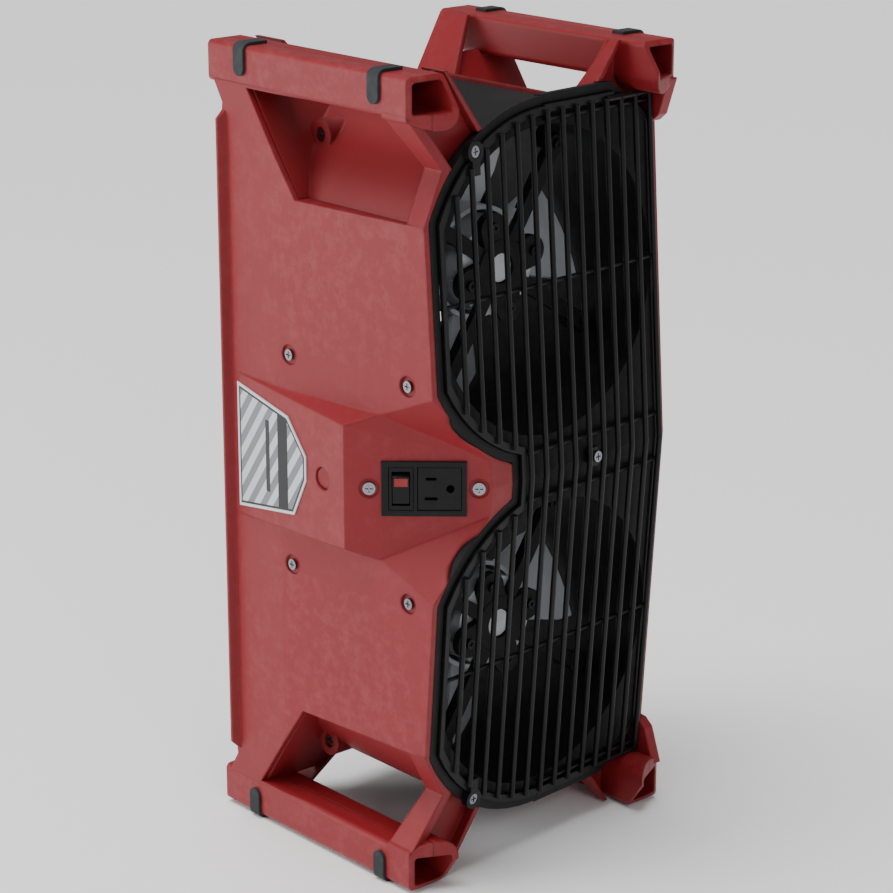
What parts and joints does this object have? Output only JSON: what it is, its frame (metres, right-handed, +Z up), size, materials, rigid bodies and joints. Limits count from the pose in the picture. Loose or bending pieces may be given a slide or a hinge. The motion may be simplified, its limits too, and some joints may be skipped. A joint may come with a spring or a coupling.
{
  "type": "axial air mover",
  "caption": "Upright stack of two axial fans behind a kinked barred grille, held between moulded side frames with corner carry handles, rubber pads and a switched service outlet.",
  "frame": {"origin": "on the floor under the middle of the object's box", "axes": "+X to the right seen from the grille's side, +Y to the rear (the intake), +Z up; air blows towards -Y"},
  "size_m": [0.243, 0.2064, 0.524],
  "materials": {
    "red_plastic": "fine texture",
    "black_plastic": "fine texture",
    "cast_metal": "cast, painted dark",
    "motor_steel": "plain",
    "fan_grey": "satin",
    "bright_steel": "zinc plated",
    "gloss_black": "smooth",
    "red_lens": "clear red tint",
    "capacitor_can": "plain",
    "badge_film": "printed film",
    "rubber_pad": "matt",
    "black_screw": "black oxide"
  },
  "bodies": {
    "frame": {"left_cover": "red_plastic", "right_cover": "red_plastic", "left_inner_frame": "red_plastic", "right_inner_frame": "red_plastic", "fan_housing": "black_plastic", "front_grille": "black_plastic", "rear_guard": "black_plastic", "upper_motor_bracket": "black_plastic", "lower_motor_bracket": "black_plastic", "upper_motor_housing": "cast_metal", "lower_motor_housing": "cast_metal", "upper_motor_endcap": "cast_metal", "lower_motor_endcap": "cast_metal", "upper_stator": "motor_steel", "lower_stator": "motor_steel", "upper_bearings": "motor_steel", "lower_bearings": "motor_steel", "outlet_bezel": "gloss_black", "outlet_receptacle": "gloss_black", "outlet_contacts": "bright_steel", "rocker_switch_frame": "gloss_black", "wiring_box": "gloss_black", "run_capacitors": "capacitor_can", "capacitor_clip": "bright_steel", "cable_gland": "gloss_black", "side_badge": "badge_film", "floor_pads": "rubber_pad", "top_pads": "rubber_pad", "left_cover_screws": "black_screw", "right_cover_screws": "black_screw", "left_frame_screws": "black_screw", "right_frame_screws": "black_screw", "grille_screws": "black_screw", "rear_guard_screws": "black_screw", "upper_bracket_screws": "black_screw", "lower_bracket_screws": "black_screw", "upper_motor_screws": "black_screw", "lower_motor_screws": "black_screw", "outlet_screws": "black_screw"},
    "upper_fan_rotor": {"upper_fan": "fan_grey", "upper_rotor": "motor_steel", "upper_shaft": "motor_steel", "upper_hub_nut": "bright_steel"},
    "lower_fan_rotor": {"lower_fan": "fan_grey", "lower_rotor": "motor_steel", "lower_shaft": "motor_steel", "lower_hub_nut": "bright_steel"},
    "switch_rocker": {"rocker": "gloss_black", "rocker_lens": "red_lens"}
  },
  "joints": [
    {"name": "upper_fan_spin", "type": "hinge", "parent": "frame", "child": "upper_fan_rotor", "pos_m": [0.005, 0, 0.382], "axis": [0, 1, 0], "continuous": true},
    {"name": "lower_fan_spin", "type": "hinge", "parent": "frame", "child": "lower_fan_rotor", "pos_m": [0.005, 0, 0.142], "axis": [0, 1, 0], "continuous": true},
    {"name": "power_rocker", "type": "hinge", "parent": "frame", "child": "switch_rocker", "pos_m": [-0.092, -0.05798, 0.262], "axis": [0.7372, -0.6756, 0], "range_deg": [-16, 0]}
  ]
}
